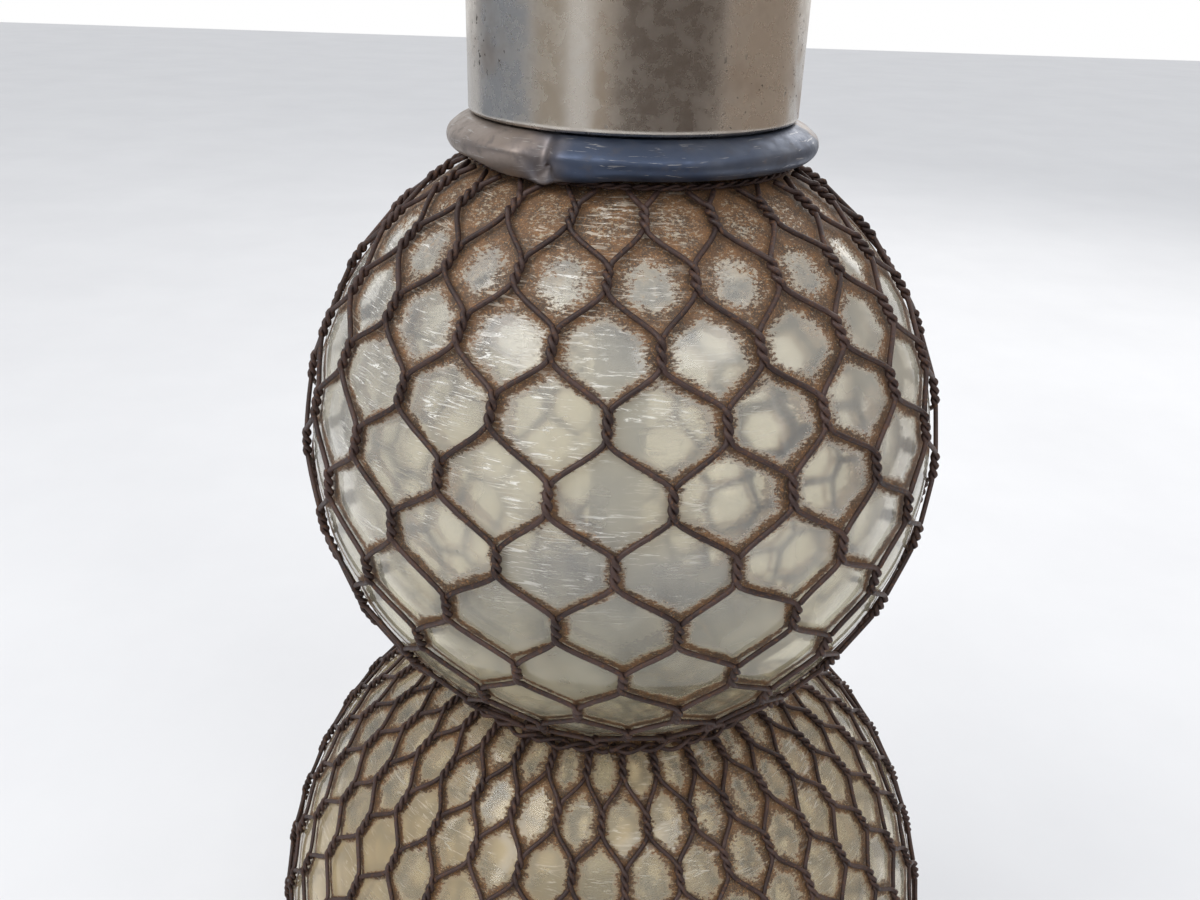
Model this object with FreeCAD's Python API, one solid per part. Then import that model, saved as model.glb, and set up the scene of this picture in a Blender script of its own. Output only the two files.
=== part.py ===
import FreeCAD, Part

import math
import os

# Soda siphon with two glass globes in wire netting, a screw-on head and a sprung lever valve.
# Millimetres. +Z is up, the origin is on the table under the middle of the foot.
# The spout points along +X and the lever along -X.

V = FreeCAD.Vector

# Clearances
seat_gap = 0.3          # between faces that only come close
running_gap = 0.05      # radial, on parts that turn or slide in each other
embed_gap = 0.1         # between netting wires and what they lie on

# Foot
foot_r = 63.0
foot_height = 34.0
foot_rim_r = 57.5
foot_rim_wall = 4.0
foot_lip = 4.0
foot_ring_r = 50.0
foot_recess = 5.0
foot_floor = 6.0
plaster_depth = 0.8

# Glass vessel
lower_globe_r = 79.5
upper_globe_r = 63.5
globe_spacing = 128.0
glass_wall = 6.2
glass_under = 18.5
waist_crease_r = 2.0
throat_edge_r = 1.5
neck_r = 23.0
neck_wall = 5.0
neck_root_r = 2.5
neck_length = 78.6
neck_lip_r = 1.2

# Netting
wire_d = 1.0
net_standoff = 0.25
upper_cells = 20
upper_rows = 11
upper_bottom_lat = -54.6
upper_phase = 2.9
upper_skew = 1.05
lower_cells = 34
lower_rows = 15
lower_top_lat = 64.0
lower_phase = 3.56
lower_skew = 0.0
twist_length = 5.2
bind_turns = 2.0
bind_gap = 0.5
bind_pitch = 1.25
hoop_d = 1.4

# Pewter collar on the neck
collar_bead_r = 34.8
collar_bead_height = 6.6
collar_sleeve_wall = 4.2
collar_sleeve_height = 14.0
cement_wall = 1.7
collar_under = 58.6
collar_lip = 0.4

# Gasket and screw cap
gasket_height = 2.2
gasket_bore_r = 18.5
cap_wall = 1.7
cap_height = 36.0
cap_shoulder_r = 5.0
cap_top = 2.6
cap_web = 3.0

# Valve body
stem_r = 8.5
stem_below_web = 8.5
column_r = 10.5
column_flange_r = 14.0
column_flange = 3.0
barrel_r = 11.6
barrel_foot = 12.0
liquid_r = 2.6
valve_bore_r = 7.3
seat_ring_r = 4.2
seat_ring_height = 1.2
disc_r = 5.2
disc_height = 3.0
piston_stem_r = 3.4
piston_stem = 6.0
piston_length = 19.0
packing_height = 3.0
packing_depth = 1.4
packing_drop = 2.5
spring_wire = 1.2
spring_r = 5.4
spring_turns = 5.0
spring_length = 12.0
top_cap_r = 13.2
top_cap_wall = 3.0
top_cap_skirt = 6.0
knob_r = 5.0
knob_neck_r = 2.6
knob_height = 11.0

# Lever
pin_r = 2.0
pin_arm = 13.0
nose_r = 2.0
nose_neck = 1.5
nose_neck_length = 5.0
nose_reach = 5.0
nose_drop = 11.0
hub_r = 4.6
lever_t = 6.0
lever_end_width = 15.0
lever_bar = 4.2
lever_out = 54.0
lever_down = 27.0
ear_t = 3.0
ear_r = 5.2
lever_travel = 13.0

# Spout
spout_r = 5.0
spout_bore_r = 2.8
spout_run = 22.0
spout_bend_r = 22.0
spout_drop = 8.0
spout_flange_r = 7.4
spout_flange = 2.5
nozzle_r = 6.4
nozzle_length = 9.0
nozzle_overlap = 5.0

# Tubes inside
dip_r = 4.0
dip_bore_r = 2.4
dip_floor_gap = 7.0
dip_socket = 5.5
gas_r = 6.0
gas_wall = 0.8
gas_flange = 1.5
gas_hole_r = 1.2
gas_holes = 4
gas_hole_drop = 8.0
washer_height = 2.0
nut_r = 12.0
nut_lip = 2.0
nut_engage = 4.5
plug_height = 16.0
plug_taper = 1.2
ring_height = 3.2
ring_depth = 2.0

# Heights that follow
lower_z = glass_under + lower_globe_r
upper_z = lower_z + globe_spacing
collar_z = upper_z + collar_under
cap_z = collar_z + collar_bead_height
sleeve_top_z = cap_z + collar_sleeve_height
neck_top_z = upper_z + neck_length
web_z = sleeve_top_z + gasket_height
cap_top_z = cap_z + cap_height
stem_end_z = web_z - stem_below_web
barrel_z = cap_top_z + column_flange
seat_z = barrel_z + barrel_foot
disc_z = seat_z + seat_ring_height
piston_z = disc_z + disc_height + piston_stem
pin_z = piston_z + nose_drop
spring_z = piston_z + piston_length
barrel_top_z = spring_z + spring_length
spout_z = seat_z + seat_ring_height + disc_height + piston_stem / 2

# Radii that follow
sleeve_bore_r = neck_r + cement_wall
sleeve_r = sleeve_bore_r + collar_sleeve_wall
cap_bore_r = sleeve_r + running_gap
cap_r = cap_bore_r + cap_wall
pin_x = -(nose_reach + pin_arm)


def save(name, shape):
    shape.exportStep("parts/%s.step" % name)


def revolve(items):
    """Turn a closed half section, given as points and arcs, about Z."""
    edges = []
    here = items[0]
    for item in items[1:] + [items[0]]:
        if isinstance(item, tuple) and len(item) == 2 and isinstance(item[0], tuple):
            mid, end = item
            edges.append(Part.Arc(V(here[0], 0, here[1]), V(mid[0], 0, mid[1]), V(end[0], 0, end[1])).toShape())
            here = end
        else:
            edges.append(Part.LineSegment(V(here[0], 0, here[1]), V(item[0], 0, item[1])).toShape())
            here = item
    face = Part.Face(Part.Wire(edges))
    return face.revolve(V(0, 0, 0), V(0, 0, 1), 360)


def rod(r, z0, z1, x=0.0, y=0.0):
    return Part.makeCylinder(r, z1 - z0, V(x, y, z0))


def tube(r_out, r_in, z0, z1):
    return rod(r_out, z0, z1).cut(rod(r_in, z0 - 1, z1 + 1))


def box(x0, x1, y0, y1, z0, z1):
    return Part.makeBox(x1 - x0, y1 - y0, z1 - z0, V(x0, y0, z0))


def on_circle(cx, cz, r, degrees):
    return (cx + r * math.cos(math.radians(degrees)), cz + r * math.sin(math.radians(degrees)))


def angle_to(cx, cz, x, z):
    return math.degrees(math.atan2(z - cz, x - cx))


def arc_on(cx, cz, r, a0, a1):
    """An arc item for revolve, from angle a0 to a1 on a circle of the half section."""
    return (on_circle(cx, cz, r, (a0 + a1) / 2), on_circle(cx, cz, r, a1))


def waist_circle(r_low, r_up, edge_r):
    """The small circle that touches both globes in the crease between them."""
    low = r_low + edge_r
    up = r_up + edge_r
    rise = (globe_spacing ** 2 + low ** 2 - up ** 2) / (2 * globe_spacing)
    return math.sqrt(low ** 2 - rise ** 2), lower_z + rise


def vessel_side(inset, crease_r, root_r):
    """Half section of the outside (inset 0) or the inside of the glass, from its foot to its mouth."""
    r_low = lower_globe_r - inset
    r_up = upper_globe_r - inset
    r_neck = neck_r - (neck_wall if inset else 0)
    wx, wz = waist_circle(r_low, r_up, crease_r)
    a_low = angle_to(0, lower_z, wx, wz)
    a_up = angle_to(0, upper_z, wx, wz)
    root_x = r_neck + root_r
    root_z = upper_z + math.sqrt((r_up + root_r) ** 2 - root_x ** 2)
    a_root = angle_to(0, upper_z, root_x, root_z)
    return [
        (0, lower_z - r_low),
        arc_on(0, lower_z, r_low, -90, a_low),
        arc_on(wx, wz, crease_r, 180 + a_low, 180 + a_up - 360 if a_up > 0 else 180 + a_up),
        arc_on(0, upper_z, r_up, a_up, a_root),
        arc_on(root_x, root_z, root_r, 180 + a_root, 180),
        (r_neck, neck_top_z - neck_lip_r),
    ]


def glass_vessel():
    outer = vessel_side(0, waist_crease_r, neck_root_r)
    lip = ((neck_r - neck_lip_r * 0.3, neck_top_z - neck_lip_r * 0.3), (neck_r - neck_lip_r, neck_top_z))
    outside = revolve(outer + [lip, (0, neck_top_z)])
    inner = vessel_side(glass_wall, throat_edge_r, neck_root_r + glass_wall)
    bore_r = neck_r - neck_wall
    inside = revolve(inner + [(bore_r, neck_top_z + 1), (0, neck_top_z + 1)])
    return outside.cut(inside)


def globe_x(r, centre_z, z):
    return math.sqrt(r ** 2 - (z - centre_z) ** 2)


def foot():
    floor_z = foot_recess + foot_floor
    rim_in = foot_rim_r - foot_rim_wall
    wall = foot_rim_wall
    return revolve([
        (0, foot_recess),
        (foot_ring_r - 2, foot_recess),
        (foot_ring_r, 0),
        (foot_r - 1, 0),
        ((foot_r - 0.3, 0.3), (foot_r, 1.0)),
        (foot_r, foot_lip),
        ((foot_r - 0.6, foot_lip + 1.2), (foot_r - 2, foot_lip + 1.8)),
        ((foot_rim_r - 2.2, (foot_lip + foot_height) / 2), (foot_rim_r - 1.2, foot_height - 4)),
        (foot_rim_r, foot_height - 3),
        ((foot_rim_r + 0.8, foot_height - 1.5), (foot_rim_r, foot_height)),
        (rim_in, foot_height),
        (rim_in, foot_height - wall),
        (globe_x(lower_globe_r, lower_z, foot_height - wall) + plaster_depth, foot_height - 2 * wall),
        (globe_x(lower_globe_r, lower_z, floor_z + 9) + plaster_depth, floor_z),
        (0, floor_z),
    ])


def plaster_bed():
    """Cement between the bowl of the foot and the lower globe."""
    top_z = foot_height - 1.0
    a_top = -math.degrees(math.asin((lower_z - top_z) / lower_globe_r))
    full = rod(foot_r, foot_recess + foot_floor, top_z)
    shape = full.common(rod(foot_rim_r - foot_rim_wall, 0, top_z)).cut(foot())
    shape = shape.cut(Part.makeSphere(lower_globe_r, V(0, 0, lower_z)))
    return max(shape.Solids, key=lambda s: s.Volume)


def neck_collar():
    bead_mid = collar_z + collar_bead_height / 2
    return revolve([
        (sleeve_bore_r, collar_z + 1.4),
        (sleeve_bore_r + 1.8, collar_z),
        (sleeve_r + 1.0, collar_z - collar_lip),
        ((collar_bead_r - 1.6, collar_z + 0.6), (collar_bead_r, bead_mid - 0.6)),
        ((collar_bead_r - 0.9, bead_mid + 1.8), (cap_r + 0.9, cap_z - seat_gap)),
        (sleeve_r, cap_z - seat_gap),
        (sleeve_r, sleeve_top_z - 0.6),
        (sleeve_r - 0.6, sleeve_top_z),
        (sleeve_bore_r, sleeve_top_z),
    ])


def neck_cement():
    root_z = upper_z + math.sqrt((upper_globe_r + neck_root_r) ** 2 - (neck_r + neck_root_r) ** 2)
    return tube(sleeve_bore_r, neck_r, root_z + 0.5, sleeve_top_z)


def neck_gasket():
    return tube(sleeve_r - 0.8, gasket_bore_r, sleeve_top_z, web_z)


def head_cap():
    top_in = cap_top_z - cap_top
    room_r = cap_bore_r - 0.4
    web_bore_r = stem_r + running_gap
    hole_r = column_r + running_gap
    return revolve([
        (cap_bore_r, cap_z),
        (cap_r - 0.4, cap_z),
        (cap_r, cap_z + 0.4),
        (cap_r, cap_top_z - cap_shoulder_r),
        (on_circle(cap_r - cap_shoulder_r, cap_top_z - cap_shoulder_r, cap_shoulder_r, 45),
         (cap_r - cap_shoulder_r, cap_top_z)),
        (hole_r, cap_top_z),
        (hole_r, top_in),
        (room_r - cap_shoulder_r, top_in),
        (on_circle(room_r - cap_shoulder_r, top_in - cap_shoulder_r, cap_shoulder_r, 45),
         (room_r, top_in - cap_shoulder_r)),
        (room_r, web_z + cap_web),
        (web_bore_r, web_z + cap_web),
        (web_bore_r, web_z),
        (cap_bore_r, web_z),
    ])


def head_body():
    """Cast valve body: threaded stem, column, barrel, ears for the lever and a boss for the spout."""
    solid = revolve([
        (0, stem_end_z),
        (stem_r, stem_end_z),
        (stem_r, web_z + cap_web),
        (column_r, web_z + cap_web),
        (column_r, cap_top_z),
        (column_flange_r, cap_top_z),
        (column_flange_r, cap_top_z + column_flange * 0.6),
        (on_circle(column_flange_r - 0.5, cap_top_z + column_flange * 0.6, 0.5, 45), (column_flange_r - 0.5,
         cap_top_z + column_flange * 0.6 + 0.5)),
        (barrel_r - 1.6, barrel_z + 1.2),
        (barrel_r - 1.6, barrel_z + 4.0),
        (barrel_r, barrel_z + 5.6),
        (barrel_r, barrel_top_z),
        (0, barrel_top_z),
    ])
    ear_y = lever_t / 2 + seat_gap
    for side in (-1, 1):
        y0 = min(side * ear_y, side * (ear_y + ear_t))
        ear = Part.makeCylinder(ear_r, ear_t, V(pin_x, y0, pin_z), V(0, 1, 0))
        web = box(pin_x, -valve_bore_r - 1, y0, y0 + ear_t, pin_z - ear_r, pin_z + ear_r)
        solid = solid.fuse(ear).fuse(web)
    boss = Part.makeCylinder(spout_flange_r, barrel_r + 1.4, V(0, 0, spout_z), V(1, 0, 0))
    solid = solid.fuse(boss)
    solid = solid.cut(rod(valve_bore_r, seat_z, barrel_top_z + 1))
    solid = solid.fuse(rod(seat_ring_r, seat_z - 1, disc_z))
    solid = solid.cut(rod(liquid_r, stem_end_z - 1, disc_z + 1))
    solid = solid.cut(rod(dip_r + running_gap, stem_end_z - 1, stem_end_z + dip_socket))
    solid = solid.cut(Part.makeCylinder(spout_bore_r, barrel_r + 10, V(0, 0, spout_z), V(1, 0, 0)))
    window = box(-barrel_r - 2, -valve_bore_r + 3, -ear_y, ear_y, pin_z - hub_r - 1.2, pin_z + hub_r + 2.4)
    solid = solid.cut(window)
    solid = solid.cut(Part.makeCylinder(pin_r + running_gap, 40, V(pin_x, -20, pin_z), V(0, 1, 0)))
    return solid.removeSplitter()


def top_cap():
    """Screw cap that closes the barrel over the spring, with a turned knob."""
    top = barrel_top_z + top_cap_wall
    ball_z = top + knob_height - knob_r
    ball_low = -math.degrees(math.acos(knob_neck_r / knob_r))
    return revolve([
        (0, barrel_top_z),
        (barrel_r + running_gap, barrel_top_z),
        (barrel_r + running_gap, barrel_top_z - top_cap_skirt),
        (top_cap_r, barrel_top_z - top_cap_skirt),
        (top_cap_r, barrel_top_z),
        ((top_cap_r - 2.2, top - 0.4), (top_cap_r - 6.0, top + 0.8)),
        (knob_neck_r, top + 1.6),
        on_circle(0, ball_z, knob_r, ball_low),
        arc_on(0, ball_z, knob_r, ball_low, 90),
    ])


def spout():
    """Swan-neck tube from the barrel, round one bend and down."""
    x0 = barrel_r + 1.4
    x1 = x0 + spout_run
    corner = V(x1, 0, spout_z)
    centre_z = spout_z - spout_bend_r
    s = math.sqrt(0.5) * spout_bend_r
    end_z = centre_z - spout_drop
    path = Part.Wire([
        Part.LineSegment(V(x0, 0, spout_z), corner).toShape(),
        Part.Arc(corner, V(x1 + s, 0, centre_z + s), V(x1 + spout_bend_r, 0, centre_z)).toShape(),
        Part.LineSegment(V(x1 + spout_bend_r, 0, centre_z), V(x1 + spout_bend_r, 0, end_z)).toShape(),
    ])
    start = V(x0, 0, spout_z)
    solids = []
    for r in (spout_r, spout_bore_r):
        ring = Part.Wire([Part.Circle(start, V(1, 0, 0), r).toShape()])
        solids.append(path.makePipeShell([ring], True, False))
    shape = solids[0].cut(solids[1])
    flange = Part.makeCylinder(spout_flange_r, spout_flange, start, V(1, 0, 0))
    flange = flange.cut(Part.makeCylinder(spout_bore_r, spout_flange, start, V(1, 0, 0)))
    return shape.fuse(flange).removeSplitter()


def spout_nozzle():
    x = barrel_r + 1.4 + spout_run + spout_bend_r
    end_z = spout_z - spout_bend_r - spout_drop
    low = end_z + nozzle_overlap - nozzle_length
    body = revolve([
        (spout_bore_r - 0.6, low),
        (nozzle_r - 1.2, low),
        (nozzle_r - 0.4, low + 1.5),
        (nozzle_r, end_z + nozzle_overlap - 2.5),
        (nozzle_r, end_z + nozzle_overlap),
        (spout_r + running_gap, end_z + nozzle_overlap),
        (spout_r + running_gap, end_z),
        (spout_bore_r - 0.6, end_z),
    ])
    body.translate(V(x, 0, 0))
    return body


def lever():
    """Side outline and plan outline of the handle, cut from each other, with its pin hole."""
    out_x = pin_x - lever_out
    end_z = pin_z - lever_down
    top = pin_z + hub_r
    bend_x = pin_x - lever_out * 0.55
    bar = lever_bar
    nose_x = pin_x + pin_arm
    neck = nose_neck
    ball_x = nose_x - math.sqrt(nose_r ** 2 - neck ** 2)
    edges = [
        Part.Arc(V(ball_x, 0, pin_z - neck), V(nose_x + nose_r, 0, pin_z), V(ball_x, 0, pin_z + neck)).toShape(),
        Part.LineSegment(V(ball_x, 0, pin_z + neck), V(nose_x - nose_neck_length, 0, pin_z + neck)).toShape(),
        Part.LineSegment(V(nose_x - nose_neck_length, 0, pin_z + neck), V(pin_x, 0, top)).toShape(),
        Part.Arc(V(pin_x, 0, top), V((pin_x + bend_x) / 2, 0, top + 1.6), V(bend_x, 0, top - 0.6)).toShape(),
        Part.Arc(V(bend_x, 0, top - 0.6), V(bend_x + (out_x - bend_x) * 0.66, 0, top - 9.5),
                 V(out_x + bar * 0.4, 0, end_z + 1.0)).toShape(),
        Part.Arc(V(out_x + bar * 0.4, 0, end_z + 1.0), V(out_x - 2.2, 0, end_z - 2.6),
                 V(out_x - 1.8, 0, end_z - 5.0)).toShape(),
        Part.Arc(V(out_x - 1.8, 0, end_z - 5.0), V(out_x + 0.4, 0, end_z - 5.6),
                 V(out_x + 2.0, 0, end_z - 3.6)).toShape(),
        Part.Arc(V(out_x + 2.0, 0, end_z - 3.6), V(bend_x + (out_x - bend_x) * 0.62, 0, top - 9.5 - bar),
                 V(bend_x, 0, top - 0.6 - bar)).toShape(),
        Part.LineSegment(V(bend_x, 0, top - 0.6 - bar), V(pin_x - hub_r, 0, pin_z - hub_r * 0.4)).toShape(),
        Part.Arc(V(pin_x - hub_r, 0, pin_z - hub_r * 0.4), V(pin_x - hub_r * 0.6, 0, pin_z - hub_r * 0.86),
                 V(pin_x, 0, pin_z - hub_r)).toShape(),
        Part.LineSegment(V(pin_x, 0, pin_z - hub_r), V(nose_x - nose_neck_length, 0, pin_z - neck)).toShape(),
        Part.LineSegment(V(nose_x - nose_neck_length, 0, pin_z - neck), V(ball_x, 0, pin_z - neck)).toShape(),
    ]
    side = Part.Face(Part.Wire(edges))
    side.translate(V(0, -lever_end_width, 0))
    bar_solid = side.extrude(V(0, 2 * lever_end_width, 0))
    half = lever_t / 2
    wide = lever_end_width / 2
    clear_x = pin_x - ear_r - 1.5
    plan = [(nose_x + 4, half), (clear_x, half), (bend_x - 6, half + 1.2), (out_x + 8, wide), (out_x - 1, wide - 0.6),
            (out_x - 4, wide - 4)]
    points = [V(x, y, 0) for x, y in plan] + [V(x, -y, 0) for x, y in reversed(plan)]
    outline = Part.Face(Part.makePolygon(points + [points[0]]))
    outline.translate(V(0, 0, end_z - 20))
    shape = bar_solid.common(outline.extrude(V(0, 0, lever_down + 60)))
    shape = shape.cut(Part.makeCylinder(pin_r + running_gap, 40, V(pin_x, -20, pin_z), V(0, 1, 0)))
    return shape.removeSplitter()


def lever_pin():
    half = lever_t / 2 + seat_gap + ear_t
    shape = Part.makeCylinder(pin_r, 2 * half, V(pin_x, -half, pin_z), V(0, 1, 0))
    for side in (-1, 1):
        y0 = half if side > 0 else -half - 1.0
        shape = shape.fuse(Part.makeCylinder(pin_r + 1.1, 1.0, V(pin_x, y0, pin_z), V(0, 1, 0)))
    return shape


def piston():
    r = valve_bore_r - running_gap
    groove_z = piston_z + packing_drop
    shape = rod(piston_stem_r, disc_z + disc_height, piston_z).fuse(rod(r, piston_z, spring_z))
    shape = shape.cut(tube(r + 1, r - packing_depth, groove_z, groove_z + packing_height))
    slot_half = nose_r + seat_gap
    reach = nose_reach - nose_r - seat_gap * 2
    slot = box(-r - 1, -reach, -r, r, pin_z - slot_half, pin_z + slot_half)
    shape = shape.cut(slot)
    return shape.removeSplitter()


def piston_disc():
    """Rubber valve disc under the piston."""
    return rod(disc_r, disc_z, disc_z + disc_height)


def piston_packing():
    r = valve_bore_r - running_gap
    groove_z = piston_z + packing_drop
    return tube(r, r - packing_depth, groove_z, groove_z + packing_height)


def coil(mean_r, wire, z0, pitch, turns, steps=4):
    """A wire wound in a rising circle, from arcs of one quarter turn."""
    count = int(round(turns * steps))

    def at(k):
        a = 2 * math.pi * k / steps
        return V(mean_r * math.cos(a), mean_r * math.sin(a), z0 + pitch * k / steps)

    edges = [Part.Arc(at(k), at(k + 0.5), at(k + 1)).toShape() for k in range(count)]
    path = Part.Wire(edges)
    ring = Part.Wire([Part.Circle(at(0), path.Edges[0].tangentAt(path.Edges[0].FirstParameter), wire / 2).toShape()])
    return path.makePipeShell([ring], True, False)


def valve_spring():
    pitch = (spring_length - spring_wire) / spring_turns
    return coil(spring_r, spring_wire, spring_z + spring_wire / 2, pitch, spring_turns)


def tube_nut():
    """Six-sided union nut that holds both tubes to the stem."""
    top = stem_end_z + nut_engage
    low = stem_end_z - washer_height - gas_flange - nut_lip
    points = [V(nut_r * math.cos(math.radians(60 * k)), nut_r * math.sin(math.radians(60 * k)), low) for k in range(7)]
    body = Part.Face(Part.makePolygon(points)).extrude(V(0, 0, top - low))
    body = body.cut(rod(stem_r + running_gap, low + nut_lip, top + 1))
    return body.cut(rod(gas_r + running_gap, low - 1, top))


def tube_washer():
    return tube(stem_r - running_gap, dip_r + running_gap, stem_end_z - washer_height, stem_end_z)


def gas_tube():
    """Tin tube round the glass one, with gas holes under its flange."""
    top = stem_end_z - washer_height
    shape = tube(stem_r - running_gap, gas_r - gas_wall, top - gas_flange, top)
    shape = shape.fuse(tube(gas_r, gas_r - gas_wall, plug_low_z(), top - gas_flange))
    hole_z = top - gas_flange - nut_lip - gas_hole_drop
    for k in range(gas_holes // 2):
        turn = 180.0 * k / (gas_holes // 2)
        across = V(math.cos(math.radians(turn)), math.sin(math.radians(turn)), 0)
        shape = shape.cut(Part.makeCylinder(gas_hole_r, 4 * gas_r, V(0, 0, hole_z) - across * 2 * gas_r, across))
    return shape.removeSplitter()


def throat():
    """Radius and height of the narrowest place between the globes."""
    x, z = waist_circle(lower_globe_r - glass_wall, upper_globe_r - glass_wall, throat_edge_r)
    return x - throat_edge_r, z


def plug_low_z():
    return throat()[1] - plug_height * 0.45


def waist_plug():
    """Tin cone soldered to the gas tube; its rubber ring closes the throat."""
    r, z = throat()
    r = r - seat_gap - 0.7
    low = plug_low_z()
    top = low + plug_height
    shape = revolve([
        (gas_r, low),
        (r - plug_taper - 1.0, low),
        (r - plug_taper, low + 1.0),
        (r, top - 4.0),
        (gas_r + 2.0, top),
        (gas_r, top),
    ])
    groove = tube(r + 5, r - ring_depth, z - ring_height / 2, z + ring_height / 2)
    return shape.cut(groove)


def waist_plug_ring():
    r, z = throat()
    return tube(r - seat_gap, r - seat_gap - 0.7 - ring_depth, z - ring_height / 2, z + ring_height / 2)


def dip_tube():
    low = lower_z - lower_globe_r + glass_wall + dip_floor_gap
    return tube(dip_r, dip_bore_r, low, stem_end_z + dip_socket)


def net_point(centre_z, r, lat, turn):
    a = math.radians(lat)
    b = math.radians(turn)
    return V(r * math.cos(a) * math.sin(b), -r * math.cos(a) * math.cos(b), centre_z + r * math.sin(a))


def net_strand(centre_z, r, stations, facing):
    """One bent wire of three sides through its stations, with its flat side facing out or in."""
    points = [net_point(centre_z, r, lat, turn) for lat, turn in stations]
    centre = V(0, 0, centre_z)
    rings = []
    for k, p in enumerate(points):
        along = points[min(k + 1, len(points) - 1)] - points[max(k - 1, 0)]
        along.normalize()
        out = p - centre
        out.normalize()
        side = along.cross(out)
        side.normalize()
        flat = out * (facing * wire_d * 0.42)
        corners = [p + flat + side * (wire_d * 0.55), p + flat - side * (wire_d * 0.55), p - flat]
        rings.append(Part.makePolygon(corners + [corners[0]]))
    return Part.makeLoft(rings, True, True)


def netting(centre_z, globe_r, cells, rows, top_lat, bottom_lat, phase, skew):
    """Two families of wires that cross at every twist, one lying outside the other."""
    mid_r = globe_r + net_standoff + wire_d
    pitch = (top_lat - bottom_lat) / rows
    half_twist = math.degrees(twist_length / 2 / mid_r)
    strands = []
    for hand, facing in ((1, -1), (-1, 1)):
        r = mid_r + hand * wire_d / 2
        for i in range(cells):
            stations = []
            for k in range(rows):
                lat = top_lat - (k + 0.5) * pitch
                turn = phase + skew * k + (i + hand * k / 2.0) * 360.0 / cells
                if k == 0:
                    stations.append((top_lat, turn - hand * 90.0 / cells))
                stations.append((lat + half_twist, turn))
                stations.append((lat - half_twist, turn))
                if k == rows - 1:
                    stations.append((bottom_lat, turn + hand * 90.0 / cells))
            strands.append(net_strand(centre_z, r, stations, facing))
    return Part.makeCompound(strands)


def hoop_lat(globe_r, height):
    """Latitude of a selvedge hoop that lies on a netting at a height over the globe's middle."""
    return math.degrees(math.asin(height / (globe_r + net_standoff + wire_d)))


def net_end_gap(globe_r):
    """Degrees of latitude between a hoop's middle and the ends of the strands."""
    return math.degrees((hoop_d / 2 + embed_gap) / (globe_r + net_standoff + wire_d))


neck_hoop_lat = hoop_lat(upper_globe_r, collar_under - collar_lip - seat_gap - hoop_d / 2)
foot_hoop_lat = hoop_lat(lower_globe_r, foot_height + hoop_d / 2 - lower_z)
upper_top_lat = neck_hoop_lat - net_end_gap(upper_globe_r)
lower_bottom_lat = foot_hoop_lat + net_end_gap(lower_globe_r)


def upper_netting():
    return netting(upper_z, upper_globe_r, upper_cells, upper_rows, upper_top_lat, upper_bottom_lat,
                   upper_phase, upper_skew)


def lower_netting():
    return netting(lower_z, lower_globe_r, lower_cells, lower_rows, lower_top_lat, lower_bottom_lat,
                   lower_phase, lower_skew)


def hoop(centre_z, globe_r, lat):
    """A closed ring of selvedge wire past the ends of a netting."""
    r = globe_r + net_standoff + wire_d
    a = math.radians(lat)
    return Part.makeTorus(r * math.cos(a), hoop_d / 2, V(0, 0, centre_z + r * math.sin(a)))


def neck_hoop_wire():
    return hoop(upper_z, upper_globe_r, neck_hoop_lat)


def foot_hoop_wire():
    return hoop(lower_z, lower_globe_r, foot_hoop_lat)


def waist_binding_wire():
    """Two turns of wire round the crease, over the ends of both nettings."""
    low = lower_z + (lower_globe_r + wire_d) * math.sin(math.radians(lower_top_lat))
    high = upper_z + (upper_globe_r + wire_d) * math.sin(math.radians(upper_bottom_lat))
    net_r = upper_globe_r + net_standoff + 2 * wire_d
    r = net_r * math.cos(math.radians(upper_bottom_lat)) + wire_d + bind_gap
    z0 = (low + high - bind_pitch * bind_turns) / 2
    return coil(r, wire_d, z0, bind_pitch, bind_turns)


PIECES = [
    foot, plaster_bed, glass_vessel, lower_netting, upper_netting, waist_binding_wire,
    foot_hoop_wire, neck_hoop_wire, neck_cement, neck_collar, neck_gasket,
    head_cap, head_body, spout, spout_nozzle, top_cap, lever, lever_pin,
    piston, piston_disc, piston_packing, valve_spring,
    tube_nut, tube_washer, dip_tube, gas_tube, waist_plug, waist_plug_ring,
]

os.makedirs("parts", exist_ok=True)
for piece in PIECES:
    save(piece.__name__, piece())
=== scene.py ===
import math
import bpy
import numpy as np
from mathutils import Matrix, Vector, noise


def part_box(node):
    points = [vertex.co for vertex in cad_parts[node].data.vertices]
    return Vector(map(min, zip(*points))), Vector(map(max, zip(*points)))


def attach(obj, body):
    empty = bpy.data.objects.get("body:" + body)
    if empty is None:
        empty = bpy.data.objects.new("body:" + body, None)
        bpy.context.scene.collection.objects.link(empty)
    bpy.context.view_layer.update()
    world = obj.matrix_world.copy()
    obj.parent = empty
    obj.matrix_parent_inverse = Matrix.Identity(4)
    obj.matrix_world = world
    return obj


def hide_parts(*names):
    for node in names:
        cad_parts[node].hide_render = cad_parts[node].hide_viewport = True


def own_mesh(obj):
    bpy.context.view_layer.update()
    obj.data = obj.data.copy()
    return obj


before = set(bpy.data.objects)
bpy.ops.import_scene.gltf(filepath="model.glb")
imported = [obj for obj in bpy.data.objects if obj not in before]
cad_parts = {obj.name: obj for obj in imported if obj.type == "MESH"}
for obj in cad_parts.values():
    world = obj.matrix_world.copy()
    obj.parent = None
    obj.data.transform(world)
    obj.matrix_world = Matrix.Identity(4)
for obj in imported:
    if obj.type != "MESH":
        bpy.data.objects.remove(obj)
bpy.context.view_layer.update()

MM = 0.001
DEGREES = 180 / math.pi

# Boxes of the CAD nodes that the pieces below stand for or sit on
glass_lo, glass_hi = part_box("glass_vessel")
collar_lo, collar_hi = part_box("neck_collar")
cap_lo, cap_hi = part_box("head_cap")
web_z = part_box("neck_gasket")[1].z

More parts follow.
